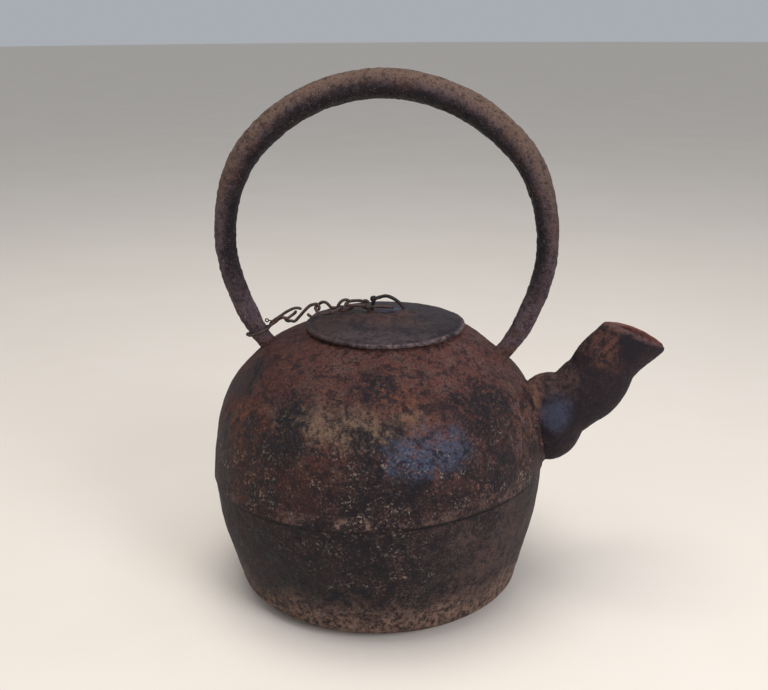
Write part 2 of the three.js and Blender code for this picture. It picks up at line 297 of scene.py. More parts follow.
class Paint:
    """Builds one node material, layer by layer."""

    def __init__(self, name, base, roughness, specular=0.35):
        self.material = bpy.data.materials.new(name)
        self.material.use_nodes = True
        self.tree = self.material.node_tree
        self.shader = self.tree.nodes["Principled BSDF"]
        self.shader.inputs["Specular IOR Level"].default_value = specular
        self.place = self.tree.nodes.new("ShaderNodeTexCoord").outputs["Object"]
        self.colour = base
        self.roughness = roughness
        self.relief = None

    def feed(self, socket, value):
        """Links another node's output to the socket, or sets the socket to a plain value."""
        if isinstance(value, bpy.types.NodeSocket):
            self.tree.links.new(value, socket)
        else:
            socket.default_value = value

    def fill(self, node, inputs):
        """Feeds a node's inputs, given by name or number, and returns its outputs."""
        for key, value in inputs.items():
            self.feed(node.inputs[key], value)
        return node.outputs

    def calculate(self, operation, a, b):
        node = self.tree.nodes.new("ShaderNodeMath")
        node.operation = operation
        return self.fill(node, {0: a, 1: b})[0]

    def vector(self, operation, a, b=(0, 0, 0)):
        node = self.tree.nodes.new("ShaderNodeVectorMath")
        node.operation = operation
        return self.fill(node, {0: a, 1: b})

    def ramp(self, value, low, high):
        """Rises smoothly from 0 to 1 as the value goes from low to high."""
        node = self.tree.nodes.new("ShaderNodeMapRange")
        node.interpolation_type = "SMOOTHSTEP"
        return self.fill(node, {"Value": value, "From Min": low, "From Max": high})["Result"]

    def clouds(self, size, seed, detail=5.0, roughness=0.6, stretch=None):
        """Cloudy noise, about 0.3 to 0.7, with lumps about size millimetres across."""
        place = self.place
        if stretch:
            mapping = self.tree.nodes.new("ShaderNodeMapping")
            place = self.fill(mapping, {"Vector": place, "Scale": stretch})["Vector"]
        node = self.tree.nodes.new("ShaderNodeTexNoise")
        node.noise_dimensions = "4D"
        self.fill(node, {"Vector": place, "W": seed, "Scale": 1 / (size * MM)})
        return self.fill(node, {"Detail": detail, "Roughness": roughness})["Fac"]

    def grains(self, size, seed):
        """0 in the middle of each of many grains about size millimetres apart, and up to 1 between."""
        node = self.tree.nodes.new("ShaderNodeTexVoronoi")
        node.voronoi_dimensions = "4D"
        return self.fill(node, {"Vector": self.place, "W": seed, "Scale": 1 / (size * MM)})["Distance"]

    def axis(self, name):
        """The place along X, Y or Z, in millimetres."""
        node = self.tree.nodes.new("ShaderNodeSeparateXYZ")
        return self.calculate("MULTIPLY", self.fill(node, {0: self.place})[name], 1 / MM)

    def spot(self, centre, radius, ragged=None, stretch=(1, 1, 1)):
        """1 in the middle of a patch and 0 past its radius in millimetres; noise can break its edge."""
        away = self.vector("SUBTRACT", self.place, [v * MM for v in centre])["Vector"]
        scaled = self.vector("MULTIPLY", away, [v / (radius * MM) for v in stretch])["Vector"]
        distance = self.vector("LENGTH", scaled)["Value"]
        if ragged is not None:
            distance = self.shifted(distance, self.calculate("SUBTRACT", ragged, 0.5), 2.2)
        return self.ramp(distance, 1.0, 0.35)

    def reach(self, centre):
        """Distance from a point, in millimetres."""
        distance = self.vector("DISTANCE", self.place, [v * MM for v in centre])["Value"]
        return self.calculate("MULTIPLY", distance, 1 / MM)

    def lip_distance(self):
        """Millimetres below the plane of the spout's slanted lip."""
        along = (LIP_TIP - LIP_HEEL) / np.linalg.norm(LIP_TIP - LIP_HEEL)
        inward = (along[2], 0, -along[0])
        height = self.vector("DOT_PRODUCT", self.place, inward)["Value"]
        height = self.calculate("MULTIPLY", height, 1 / MM)
        return self.calculate("SUBTRACT", height, float(LIP_HEEL @ inward))

    def shifted(self, value, clouds, reach):
        """The value plus cloudy noise times reach, so that what depends on it has a ragged edge."""
        return self.calculate("ADD", value, self.calculate("MULTIPLY", clouds, reach))

    def times(self, *values):
        total = values[0]
        for value in values[1:]:
            total = self.calculate("MULTIPLY", total, value)
        return total

    def coat(self, amount, tone, roughness=None):
        """Lays a colour, and a roughness if given, over what is there.

        The amount is from 0 to 1, or a tuple of such amounts to multiply together.
        """
        if isinstance(amount, tuple):
            amount = self.times(*amount)
        node = self.tree.nodes.new("ShaderNodeMix")
        node.data_type = "RGBA"
        self.colour = self.fill(node, {0: amount, 6: self.colour, 7: tone})[2]
        if roughness is not None:
            node = self.tree.nodes.new("ShaderNodeMix")
            self.roughness = self.fill(node, {0: amount, 2: self.roughness, 3: roughness})[0]

    def patches(self, places, ragged, grain, amount, tone, roughness=None):
        """Coats patches, each a (centre, radius), as far as the grain lets the coat show."""
        for centre, radius in places:
            self.coat((self.spot(centre, radius, ragged), grain, amount), tone, roughness)

    def raise_by(self, value, height):
        """Adds relief: value 0 to 1 stands height millimetres proud."""
        bump = self.tree.nodes.new("ShaderNodeBump")
        inputs = {"Strength": 1.0, "Distance": height * MM, "Height": value}
        if self.relief is not None:
            inputs["Normal"] = self.relief
        self.relief = self.fill(bump, inputs)["Normal"]

    def done(self):
        """Joins the layers to the shader and returns the material."""
        self.feed(self.shader.inputs["Base Color"], self.colour)
        self.feed(self.shader.inputs["Roughness"], self.roughness)
        if self.relief is not None:
            self.feed(self.shader.inputs["Normal"], self.relief)
        return self.material


RUST_BROWN = colour(82, 54, 49)
RUST_RED = colour(98, 52, 44)
RUST_ORANGE = colour(118, 72, 52)
RUST_TAN = colour(124, 104, 82)
DUSTY_BROWN = colour(98, 76, 70)
DARK_BROWN = colour(44, 29, 30)
# black of bare iron, also used for the painted shade in a ring on the lid
BLACK_IRON_AND_SHADE = colour(22, 17, 25)
# black of soot grains, also used for the painted shadow under the seam
SOOT_AND_SHADOW = colour(13, 10, 14)
# a blue for painted sheens and reflections on the spout and the lid
PAINTED_BLUE_SHEEN = colour(64, 70, 92)
SCALE_PALE = colour(168, 150, 136)


def iron_relief(paint, seed, strength=1.0):
    """The sand-cast skin: fine grain, small pits and low rust blisters."""
    paint.raise_by(paint.clouds(8, seed, detail=8, roughness=0.8), 3.0 * strength)
    paint.raise_by(paint.grains(2.1, seed + 1), 0.5 * strength)


def grit(paint, seed, dark=0.75, light=0.45, size=1.6, light_tone=RUST_TAN):
    """Grains a few millimetres across, darker and lighter than what lies under them."""
    coarse = paint.clouds(4 * size, seed, detail=7, roughness=0.75)
    fine = paint.clouds(size, seed + 1, detail=3, roughness=0.7)
    paint.coat((paint.ramp(coarse, 0.51, 0.58), dark), BLACK_IRON_AND_SHADE, 0.6)
    light_grains = paint.times(paint.ramp(fine, 0.54, 0.64), paint.ramp(coarse, 0.56, 0.44))
    paint.coat((light_grains, light), light_tone, 0.85)
    paint.coat((paint.ramp(fine, 0.46, 0.37), dark), SOOT_AND_SHADOW)


def flecks(paint, seed, where, amount=0.9, tone=SCALE_PALE):
    """Ragged specks of pale scale, in clusters."""
    specks = paint.ramp(paint.clouds(2.2, seed, detail=4, roughness=0.8), 0.54, 0.61)
    clusters = paint.ramp(paint.clouds(13, seed + 1, detail=9, roughness=0.74), 0.5, 0.57)
    mask = paint.times(specks, clusters, where, amount)
    paint.coat(mask, tone, 0.9)
    return mask


# Patches on the pot as (centre, radius).
ORANGE_PATCHES = [
    ((-84, -70, 142), 36), ((-80, -86, 118), 30), ((24, -92, 170), 22),
    ((104, -40, 146), 26),
]
BLACK_PATCHES = [
    ((84, -64, 160), 36), ((8, -84, 178), 20), ((-44, -92, 166), 20), ((-54, -98, 146), 26),
    ((10, -112, 142), 26), ((64, -82, 172), 20), ((22, -116, 116), 36),
    ((-84, -40, 168), 24), ((-98, -60, 120), 24), ((96, -76, 116), 24),
]
BOWL_PATCHES = [
    ((6, -114, 72), 34), ((52, -100, 58), 30), ((-44, -100, 44), 30),
]


class PotMasks:
    """What the layers of the pot's material share: its height along the seam and its noises."""

    def __init__(self, paint):
        climb = paint.calculate("MULTIPLY", paint.axis("X"), SEAM_SLOPE)
        self.level = paint.calculate("SUBTRACT", paint.axis("Z"), climb)
        self.fine = paint.clouds(4, 2.0, detail=7, roughness=0.72)
        self.broad = paint.clouds(30, 3.0, detail=10, roughness=0.7)
        self.ragged = paint.clouds(16, 13.0, detail=10, roughness=0.78)
        self.sideways = paint.shifted(paint.axis("X"), self.broad, 60)


def rusty_shoulder(paint, masks):
    """Red-brown rust that darkens toward the seam, with dusty, orange and tan patches, painted shade on
    the chain side and a painted highlight on the spout side's shoulder.
    """
    fine = masks.fine
    paint.coat((paint.ramp(fine, 0.42, 0.6), 0.8), RUST_RED)
    dusty = paint.ramp(paint.clouds(14, 4.0, detail=9, roughness=0.72), 0.5, 0.62)
    paint.coat((dusty, 0.6), DUSTY_BROWN, 0.8)
    drift = paint.calculate("SUBTRACT", paint.clouds(40, 1.0, detail=6), 0.5)
    darker = paint.ramp(paint.shifted(masks.level, drift, 130), 168, 112)
    paint.coat((darker, 0.8), DARK_BROWN, 0.68)
    # painted shade: the chain side darker red-brown, partly rust colour and partly shade of the less lit
    # side
    paint.coat((paint.ramp(masks.sideways, 20, -40), 0.6), colour(74, 37, 31), 0.7)
    # painted highlight: a lighter pinkish mottle high on the spout side, partly dust and partly painted
    # light
    spout_side = paint.times(paint.ramp(masks.sideways, 60, 96), paint.ramp(masks.level, 150, 178))
    paint.coat((spout_side, paint.ramp(fine, 0.4, 0.6), 0.5), colour(112, 72, 66), 0.8)
    paint.patches(ORANGE_PATCHES, masks.ragged, paint.ramp(fine, 0.46, 0.6), 0.75, RUST_ORANGE)
    tan = paint.spot((-10, -100, 157), 42, masks.ragged, (0.6, 0.6, 2.6))
    paint.coat((tan, paint.ramp(fine, 0.3, 0.58), 0.75), colour(128, 107, 88), 0.75)


def mottled_belly(paint, masks):
    """Blotches of bare black iron, a blue patch that is partly bluish oxide and partly a painted
    reflection, and rust drips by the spout.
    """
    fine, level, ragged = masks.fine, masks.level, masks.ragged
    dark_grain = paint.ramp(fine, 0.62, 0.46)
    paint.patches([((-76, -86, 118), 50)], ragged, dark_grain, 0.6, DARK_BROWN, 0.6)
    middle = paint.times(paint.ramp(level, 90, 108), paint.ramp(level, 186, 150))
    mottle = paint.ramp(paint.clouds(19, 5.0, detail=10, roughness=0.74), 0.5, 0.57)
    paint.coat((middle, mottle, 0.85), BLACK_IRON_AND_SHADE, 0.5)
    paint.patches(BLACK_PATCHES, ragged, paint.ramp(fine, 0.64, 0.46), 0.9, BLACK_IRON_AND_SHADE, 0.5)
    # painted reflection: a blue patch on the belly, partly bluish oxide, partly a reflection painted
    # into the colour
    painted_sheen = paint.spot((47, -104, 142), 28, ragged, (0.75, 0.75, 1.3))
    paint.coat((painted_sheen, paint.ramp(fine, 0.7, 0.44), 0.85), colour(62, 76, 101), 0.42)
    drips = paint.clouds(5, 11.0, detail=6, roughness=0.7, stretch=(1, 1, 0.22))
    by_spout = paint.times(paint.ramp(paint.axis("X"), 84, 108), paint.ramp(level, 96, 130))
    paint.coat((by_spout, paint.ramp(drips, 0.48, 0.6), 0.8), colour(112, 84, 80), 0.8)


def sooty_bowl(paint, masks):
    """Black below the seam, browner in drifts and toward the spout, and tan at the foot."""
    fine, broad, ragged = masks.fine, masks.broad, masks.ragged
    bowl = paint.ramp(paint.shifted(masks.level, broad, 40), 130, 108)
    paint.coat((bowl, 0.85), BLACK_IRON_AND_SHADE, 0.6)
    drift = paint.ramp(ragged, 0.48, 0.57)
    paint.coat((bowl, drift, 0.75), colour(55, 38, 41), 0.7)
    paint.coat((bowl, paint.ramp(fine, 0.54, 0.62), 0.55), colour(74, 57, 58), 0.8)
    blots = paint.ramp(paint.clouds(24, 14.0, detail=10, roughness=0.72), 0.5, 0.57)
    paint.coat((bowl, blots, 0.85), BLACK_IRON_AND_SHADE, 0.46)
    paint.patches(BOWL_PATCHES, ragged, 1.0, 0.85, BLACK_IRON_AND_SHADE, 0.46)
    dusty = paint.times(paint.ramp(masks.sideways, 60, 110), paint.ramp(ragged, 0.4, 0.58))
    paint.coat((bowl, dusty, 0.5), DUSTY_BROWN, 0.8)
    foot = paint.ramp(paint.shifted(masks.level, broad, 70), 78, 46)
    paint.coat((foot, paint.ramp(fine, 0.38, 0.58), 0.9), colour(136, 108, 94), 0.8)


def pale_scale(paint, masks):
    """Flecks in a belt above the seam and low in front; returns where the palest ones are."""
    level, ragged = masks.level, masks.ragged
    belt = paint.times(paint.ramp(level, 88, 100), paint.ramp(level, 172, 116))
    low_places = [
        paint.times(paint.spot((16, -114, 62), 46, ragged, (0.9, 0.9, 1.0)), 0.8),
        paint.times(paint.spot((-34, -112, 80), 26, ragged), 0.7),
        paint.times(paint.ramp(level, 44, 24), 0.4),
    ]
    low = low_places[0]
    for place in low_places[1:]:
        low = paint.calculate("MAXIMUM", low, place)
    where = paint.calculate("ADD", belt, low)
    flecks(paint, 15.0, where, 0.7, colour(136, 96, 84))
    return flecks(paint, 7.0, where)


def seam_crust(paint, masks):
    """Crust along the top of the seam, mainly in front, and a painted shadow line under the seam's
    ledge.
    """
    level = masks.level
    above = paint.ramp(level, SEAM_HEIGHT + 0.6, SEAM_HEIGHT + 1.8)
    crust = paint.times(above, paint.ramp(level, SEAM_HEIGHT + 12.4, SEAM_HEIGHT + 3.4))
    broken = paint.ramp(paint.clouds(18, 9.0, detail=8, roughness=0.75), 0.5, 0.56)
    in_front = paint.times(paint.spot((-8, -122, 98), 44, masks.ragged), 0.6)
    crust = paint.times(crust, broken, paint.calculate("ADD", in_front, 0.4))
    grain = paint.ramp(masks.fine, 0.4, 0.52)
    paint.coat((crust, grain, 0.85), colour(140, 108, 98), 0.9)
    # painted shadow: a broken black line just under the seam's ledge
    line = paint.ramp(level, SEAM_HEIGHT - 2.6, SEAM_HEIGHT - 0.8)
    line = paint.times(line, paint.ramp(level, SEAM_HEIGHT + 1, SEAM_HEIGHT))
    paint.coat((line, paint.ramp(masks.broad, 0.42, 0.52), 0.9), SOOT_AND_SHADOW, 0.8)


def pot_material():
    """Rusty shoulder, a mottled band of bare iron and scale round the belly with a painted blue
    reflection, and a sooty bowl; painted shade on the chain side, a painted highlight on the spout side
    and a painted shadow under the seam.
    """
    paint = Paint("pot_iron", RUST_BROWN, 0.72, 0.22)
    masks = PotMasks(paint)
    rusty_shoulder(paint, masks)
    mottled_belly(paint, masks)
    sooty_bowl(paint, masks)
    grit(paint, 12.0)
    specks = pale_scale(paint, masks)
    seam_crust(paint, masks)
    iron_relief(paint, 10.0)
    paint.raise_by(specks, 0.3)
    return paint.done()


def spout_material():
    """Smoother and darker than the pot, rusty where it grows out of it and round the lip, with a blue
    sheen painted on the bulb, partly bluish oxide and partly a painted highlight.
    """
    paint = Paint("spout_iron", colour(33, 24, 30), 0.6, 0.2)
    fine = paint.clouds(4, 20.0, detail=7, roughness=0.7)
    broad = paint.clouds(24, 21.0, detail=8, roughness=0.7)
    paint.coat((paint.ramp(broad, 0.5, 0.6), 0.75), BLACK_IRON_AND_SHADE, 0.52)
    brown = paint.ramp(paint.clouds(13, 22.0, detail=8, roughness=0.72), 0.5, 0.62)
    paint.coat((brown, 0.6), colour(50, 35, 39))
    upper = paint.spot((160, -9, 190), 22, broad, (1, 0.5, 0.9))
    paint.coat((upper, paint.ramp(fine, 0.4, 0.6), 0.75), colour(104, 67, 54), 0.8)
    dark = paint.spot((176, -12, 190), 14, broad, (1.2, 0.4, 0.7))
    paint.coat((dark, 0.85), BLACK_IRON_AND_SHADE, 0.5)
    lip = paint.ramp(paint.lip_distance(), 2.2, -0.6)
    paint.coat((lip, paint.ramp(fine, 0.36, 0.56), 0.85), colour(98, 70, 68), 0.8)
    inside = paint.times(paint.ramp(paint.lip_distance(), 14, 3), paint.ramp(paint.axis("Y"), 0, 4))
    paint.coat((inside, 0.85), colour(116, 70, 60), 0.8)
    crown = paint.spot((122, -4, 160), 24, broad, (0.9, 0.5, 1.1))
    paint.coat((crown, paint.ramp(fine, 0.38, 0.6), 0.7), colour(94, 70, 64), 0.8)
    root = paint.spot((111, 0, 146), 15, broad, (1.2, 0.3, 0.6))
    paint.coat((root, paint.ramp(fine, 0.35, 0.55), 0.8), colour(124, 92, 76), 0.85)
    # painted highlight: a blue sheen on the bulb's near side, partly bluish oxide
    painted_sheen = paint.spot((128, -16, 139), 15, broad, (1, 0.5, 0.8))
    paint.coat((painted_sheen, 0.55), PAINTED_BLUE_SHEEN, 0.45)
    grit(paint, 24.0, 0.3, 0.12)
    iron_relief(paint, 23.0, 0.55)
    return paint.done()


def hoop_material():
    """Brown, lighter on the outside of the bar's top as painted light, near black on its inside and
    underside as painted shade, and paler down the legs with a painted highlight.
    """
    paint = Paint("hoop_iron", colour(84, 67, 72), 0.66, 0.25)
    height = paint.axis("Z")
    brown = paint.ramp(paint.clouds(16, 31.0, detail=9, roughness=0.74), 0.46, 0.6)
    paint.coat(brown, colour(84, 60, 56), 0.75)
    black = paint.ramp(paint.clouds(8, 35.0, detail=9, roughness=0.74), 0.5, 0.62)
    paint.coat((black, 0.6), BLACK_IRON_AND_SHADE)
    drift = paint.clouds(9, 32.0, detail=6, roughness=0.7)
    from_centre = paint.shifted(paint.reach((HOOP_X, 0, HOOP_Z)), drift, 10)
    # painted shade: the inside and underside of the bar's upper part painted near black
    inside = paint.times(paint.ramp(from_centre, 123, 115), paint.ramp(height, 205, 250))
    paint.coat((inside, 0.95), colour(15, 10, 17), 0.55)
    # painted light: the outside of the bar's top painted lighter, as lit from above
    outside = paint.times(paint.ramp(from_centre, 119, 127), paint.ramp(height, 230, 350))
    paint.coat((outside, 0.85), colour(116, 92, 78), 0.8)
    # painted highlight: paler grey-purple patches down the legs
    leg_highlight = paint.ramp(paint.clouds(7, 36.0, detail=8), 0.4, 0.56)
    shank = paint.times(paint.ramp(height, 222, 204), leg_highlight)
    paint.coat((shank, 0.6), colour(104, 86, 94), 0.7)
    paint.coat((paint.ramp(height, 190, 180), 0.85), colour(96, 66, 58), 0.8)
    grit(paint, 33.0, 0.62, 0.6, 1.1, colour(122, 100, 92))
    iron_relief(paint, 34.0, 0.9)
    return paint.done()


def lid_material():
    """Darkened sheet iron, browner toward the chain, with a rust stain round the staple, a painted blue
    reflection behind the staple, its front painted lighter as lit, a painted highlight along the rim's
    right front and a ring of painted shade inside the rim.
    """
    paint = Paint("lid_sheet", colour(50, 40, 43), 0.58, 0.22)
    fine = paint.clouds(3, 40.0, detail=7, roughness=0.72)
    broad = paint.clouds(22, 41.0, detail=9, roughness=0.7)
    paint.coat((paint.ramp(broad, 0.46, 0.6), 0.8), colour(36, 28, 31), 0.62)
    paint.coat((paint.ramp(fine, 0.5, 0.62), 0.6), colour(66, 54, 57), 0.6)
    chain_side = paint.ramp(paint.shifted(paint.axis("X"), broad, 60), 24, -8)
    grain = paint.ramp(fine, 0.3, 0.55)
    paint.coat((chain_side, grain, 0.9), colour(66, 47, 43), 0.7)
    stain = paint.spot((4, -9, 205), 27, broad, (0.7, 1.2, 1))
    paint.coat((stain, grain, 0.75), colour(84, 60, 52), 0.75)
    # painted reflection: a blue-grey patch behind the staple
    paint.coat((paint.spot((9, 5, 206), 14, fine), 0.7), PAINTED_BLUE_SHEEN, 0.42)
    # painted light: the front of the lid painted lighter, as lit from the front
    front = paint.ramp(paint.axis("Y"), -28, -46)
    paint.coat((front, paint.ramp(fine, 0.38, 0.6), 0.55), colour(84, 68, 70), 0.6)
    from_middle = paint.reach((MOUTH_X, 0, 198))
    # painted highlight: a light strip along the rim, on its right front only
    edge = paint.ramp(from_middle, LID_RADIUS - 3.4, LID_RADIUS - 1.4)
    edge = paint.times(edge, paint.ramp(paint.axis("X"), -30, 20), paint.ramp(fine, 0.36, 0.6))
    paint.coat((edge, 0.85), colour(112, 94, 94), 0.6)
    # painted shade: a black ring in the crease just inside the rim
    crease_shade = paint.ramp(from_middle, LID_RADIUS - 7, LID_RADIUS - 5)
    crease_shade = paint.times(crease_shade, paint.ramp(from_middle, LID_RADIUS - 2.6, LID_RADIUS - 4.4))
    paint.coat((crease_shade, paint.ramp(broad, 0.42, 0.56), 0.6), BLACK_IRON_AND_SHADE)
    grit(paint, 43.0, 0.6, 0.35, 1.8, colour(96, 82, 78))
    iron_relief(paint, 42.0, 0.35)
    return paint.done()


def wire_material():
    """Rusty wire with blackened stretches."""
    paint = Paint("rusty_wire", colour(62, 46, 42), 0.6, 0.4)
    rust = paint.ramp(paint.clouds(3, 50.0, detail=5, roughness=0.7), 0.48, 0.6)
    paint.coat(rust, colour(88, 60, 50), 0.75)
    black = paint.ramp(paint.clouds(5, 51.0), 0.52, 0.62)
    paint.coat((black, 0.85), colour(28, 21, 25), 0.45)
    paint.raise_by(paint.clouds(0.8, 52.0, detail=4), 0.12)
    return paint.done()


def staple_material():
    """Blackened wire, rusty only here and there."""
    paint = Paint("black_wire", colour(24, 19, 23), 0.5, 0.35)
    rust = paint.ramp(paint.clouds(4, 55.0, detail=5), 0.52, 0.62)
    paint.coat((rust, 0.7), colour(70, 48, 42), 0.7)
    paint.raise_by(paint.clouds(0.8, 56.0, detail=4), 0.12)
    return paint.done()


def floor_material():
    """Pale paper."""
    paint = Paint("pale_paper", colour(236, 226, 214), 0.85)
    cloudy = paint.ramp(paint.clouds(180, 60.0, detail=3), 0.4, 0.65)
    paint.coat((cloudy, 0.3), colour(242, 233, 223))
    paint.raise_by(paint.clouds(2.0, 61.0, detail=3), 0.02)
    return paint.done()


# ---------- Pot

def crown_centre(height):
    """The rim is concentric with the mouth; the wall below runs back to the belly's own middle."""
    return MOUTH_X * smoothstep(height, 180, 193)


def tilt_seam(points):
    """The seam climbs toward the spout, and the wall beside it goes with it."""
    reach = SEAM_HEIGHT - HEEL_HEIGHT
    share = np.clip(1 - np.abs(points[:, 2] - SEAM_HEIGHT) / reach, 0, 1)
    points[:, 2] += points[:, 0] * SEAM_SLOPE * share
    return points


def heel_arc(shrink, count):
    """The rounded foot of the wall as (radius, height), outside or shrunk for the inside."""
    angles = np.linspace(0, np.pi / 2, count)
    across = HEEL_RADIUS - BASE_RADIUS - shrink / 2
    up = HEEL_HEIGHT - shrink / 2
    radii = BASE_RADIUS - shrink / 2 + across * np.sin(angles)
    heights = HEEL_HEIGHT + shrink / 2 - up * np.cos(angles)
    return np.stack([radii, heights], axis=1)


def inset(line, distance):
    """A (radius, height) line moved inward."""
    along = np.gradient(line, axis=0)
    along /= np.linalg.norm(along, axis=1, keepdims=True)
    return line + np.stack([-along[:, 1], along[:, 0]], axis=1) * distance


def bulb_distance(points):
    """How far points are outside the spout's bulb, in millimetres, roughly."""
    scaled = (points - BULB_CENTRE) / BULB_SIZE
    length = np.linalg.norm(scaled, axis=1)
    return (length - 1) * np.linalg.norm(points - BULB_CENTRE, axis=1) / np.maximum(length, 1e-6)


def leg_distance(points):
    """How far points are outside the handle's legs."""
    line, radius = hoop_line(240)
    away = np.linalg.norm(points[:, None, :] - line[None, ::4, :], axis=2) - radius[None, ::4]
    return away.min(axis=1)


def pot_outside():
    """Points of the pot's outer skin, how many rings they make, and how many points a ring has."""
    base = [(radius, 0) for radius in (4, 22, 40, 56, 68)]
    heel = heel_arc(0, 14)
    below = smooth_line(BELOW_SEAM, 50)
    above = smooth_line(ABOVE_SEAM, 90)
    rim = [(RIM_RADIUS + 1.4, RIM_TOP - 0.3), (RIM_RADIUS, RIM_TOP)]
    profile = np.vstack([base, heel, below[1:], above, rim])
    around = 420
    points = turned(profile, around, crown_centre)
    middle = points * 0
    middle[:, 0] = crown_centre(points[:, 2])
    middle[:, 2] = np.minimum(points[:, 2], 100)
    outward = points - middle
    outward[:, 2] *= 0.6
    outward /= np.linalg.norm(outward, axis=1, keepdims=True)
    height = points[:, 2].copy()
    points = tilt_seam(points)
    wall = smoothstep(height, 4, 16) * smoothstep(height, RIM_TOP - 0.5, RIM_TOP - 5)
    depth = 0.8 * noise(points, 70, 1) + 0.35 * noise(points, 22, 2) + 0.25 * noise(points, 7, 3)
    depth -= 0.6 * pits(points, 5, 4, 0.3) + 0.35
    seam = np.exp(-((height - SEAM_HEIGHT - 2.2) / 2.0) ** 2)
    crusty = smoothstep(noise(points, 24, 5), -0.1, 0.5)
    front = np.exp(-((points[:, 0] - 4) / 22) ** 2) * (points[:, 1] < 0)
    depth += seam * (0.9 * crusty + 1.1 * front)
    room = BELLY - np.hypot(points[:, 0] - middle[:, 0], points[:, 1])
    depth = np.minimum(depth, np.clip(room, 0, 0.6))
    points = points + outward * (depth * wall)[:, None]
    near_spout = np.clip(1 - bulb_distance(points) / 7, 0, 1) ** 2
    near_leg = np.zeros(len(points))
    crown = (height > 140) & (height < 190)
    near_leg[crown] = np.clip(1 - leg_distance(points[crown]) / 5, 0, 1) ** 2
    points = points + outward * (1.8 * near_spout + 1.4 * near_leg)[:, None]
    return points, len(profile), around


def pot_cavity(grow, around):
    """Points of the pot's hollow, made larger by grow, and how many rings they make."""
    floor = [(radius, FLOOR - grow) for radius in (4, 30, 60)]
    heel = heel_arc(WALL, 6)
    heel[:, 1] = np.maximum(heel[:, 1], FLOOR - grow)
    below = inset(smooth_line(BELOW_SEAM, 14), WALL)
    above = inset(smooth_line(ABOVE_SEAM, 26), WALL)
    neck = RIM_TOP - 6
    above = above[above[:, 1] < neck - 1]
    walls = np.vstack([heel, below[1:], above]) + (grow, 0)
    profile = np.vstack([floor, walls, [(MOUTH_RADIUS, neck)]])
    return tilt_seam(turned(profile, around, crown_centre)), len(profile)


def build_pot(material):
    """One skin from the base up the outside, over the rim and down the inside to the floor."""
    outside, rings, around = pot_outside()
    inside, inner_rings = pot_cavity(0, around)
    lip = [(MOUTH_RADIUS, RIM_TOP - 0.6), (MOUTH_RADIUS + 0.6, RIM_TOP)]
    inside = np.vstack([inside, turned(lip, around, crown_centre)])
    inside[:, 2] += 0.3 * noise(inside, 9, 6) - 0.2
    downward = inside.reshape(-1, around, 3)[::-1].reshape(-1, 3)
    points = np.vstack([outside, downward])
    faces = capped(rings + inner_rings + len(lip), around)
    pot = make_piece("pot", points, faces, "kettle", ["kettle_body"], "pot", material)
    cut(pot, [spout_form(-SPOUT_WALL - HOLE_STEP, "passage")])


# ---------- Spout

def apply_modifiers(piece):
    """Makes what the piece's modifiers show its own mesh."""
    graph = bpy.context.evaluated_depsgraph_get()
    made = bpy.data.meshes.new_from_object(piece.evaluated_get(graph))
    piece.modifiers.clear()
    piece.data = made


def combine(piece, other, operation):
    """Joins another solid to the piece, or takes it away."""
    boolean = piece.modifiers.new("shape", "BOOLEAN")
    boolean.operation = operation
    boolean.solver = "MANIFOLD"
    boolean.object = other
    apply_modifiers(piece)


def cut(piece, tools):
    """Takes each tool's shape out of the piece, and removes the tool."""
    for tool in tools:
        combine(piece, tool, "DIFFERENCE")
        bpy.data.objects.remove(tool)
    piece.data.shade_smooth()


def bulb_and_beak(grow):
    """The spout's two closed forms, made larger by grow, or smaller for its passage."""
    rings, around = 28, 48
    angles = np.linspace(0.02, np.pi - 0.02, rings)
    turns = np.linspace(0, 2 * np.pi, around, endpoint=False)
    size = BULB_SIZE + grow
    bulb = np.stack([
        np.outer(np.sin(angles), np.cos(turns)) * size[0],
        np.outer(np.sin(angles), np.sin(turns)) * size[1],
        np.outer(-np.cos(angles), np.ones(around)) * size[2],
    ], axis=2).reshape(-1, 3) + BULB_CENTRE
    line = smooth_line(BEAK_LINE, 48)
    given = [(15 * i, *size) for i, size in enumerate(zip(BEAK_DEPTH, BEAK_WIDTH))]
    sizes = smooth_line(given, len(line))
    depth, width = sizes[:, 1] + grow, sizes[:, 2] + grow
    if grow < 0:
        thicker = HEEL_THICKENING * smoothstep(np.linspace(0, 1, len(line)), 0.5, 0.8)
        depth = depth - thicker
        line = line + np.outer(thicker, (math.sqrt(0.5), 0, -math.sqrt(0.5)))
    beak = tube(line, depth, width, around)
    return (bulb, capped(rings, around)), (beak, capped(len(line), around))


def spout_form(grow, name):
    """The bulb and the beak as one closed solid."""
    bulb, beak = bulb_and_beak(grow)
    solid = make_solid(name, *bulb)
    other = make_solid(name + "_beak", *beak)
    combine(solid, other, "UNION")
    bpy.data.objects.remove(other)
    return solid


def slab(name, outline):
    """A wide solid from the points of its outline in the plane y = 0, anticlockwise from the front."""
    points = [point + (0, y, 0) for y in (30, -30) for point in outline]
    return make_solid(name, points, capped(2, len(outline)))


def past_lip():
    """Everything past the slanted lip, which bows outward a little between its heel and its tip."""
    along = (LIP_TIP - LIP_HEEL) / np.linalg.norm(LIP_TIP - LIP_HEEL)
    up = np.array([-along[2], 0, along[0]])
    half = np.linalg.norm(LIP_TIP - LIP_HEEL) / 2
    middle = (LIP_HEEL + LIP_TIP) / 2
    places = np.linspace(-2, 2, 33)
    bow = LIP_BOW * (1 - np.minimum(abs(places), 1.4) ** 2)
    corners = [*zip(places, bow), (2, 60), (-2, 60)]
    return slab("past_lip", [middle + along * place * half + up * height for place, height in corners])


def past_tip():
    """Everything in front of the lip's blunt tip."""
    corners = [(-0.4, 0, -30), (20, 0, -30), (20, 0, 30), (-0.4, 0, 30)]
    return slab("past_tip", [LIP_TIP + corner for corner in corners])


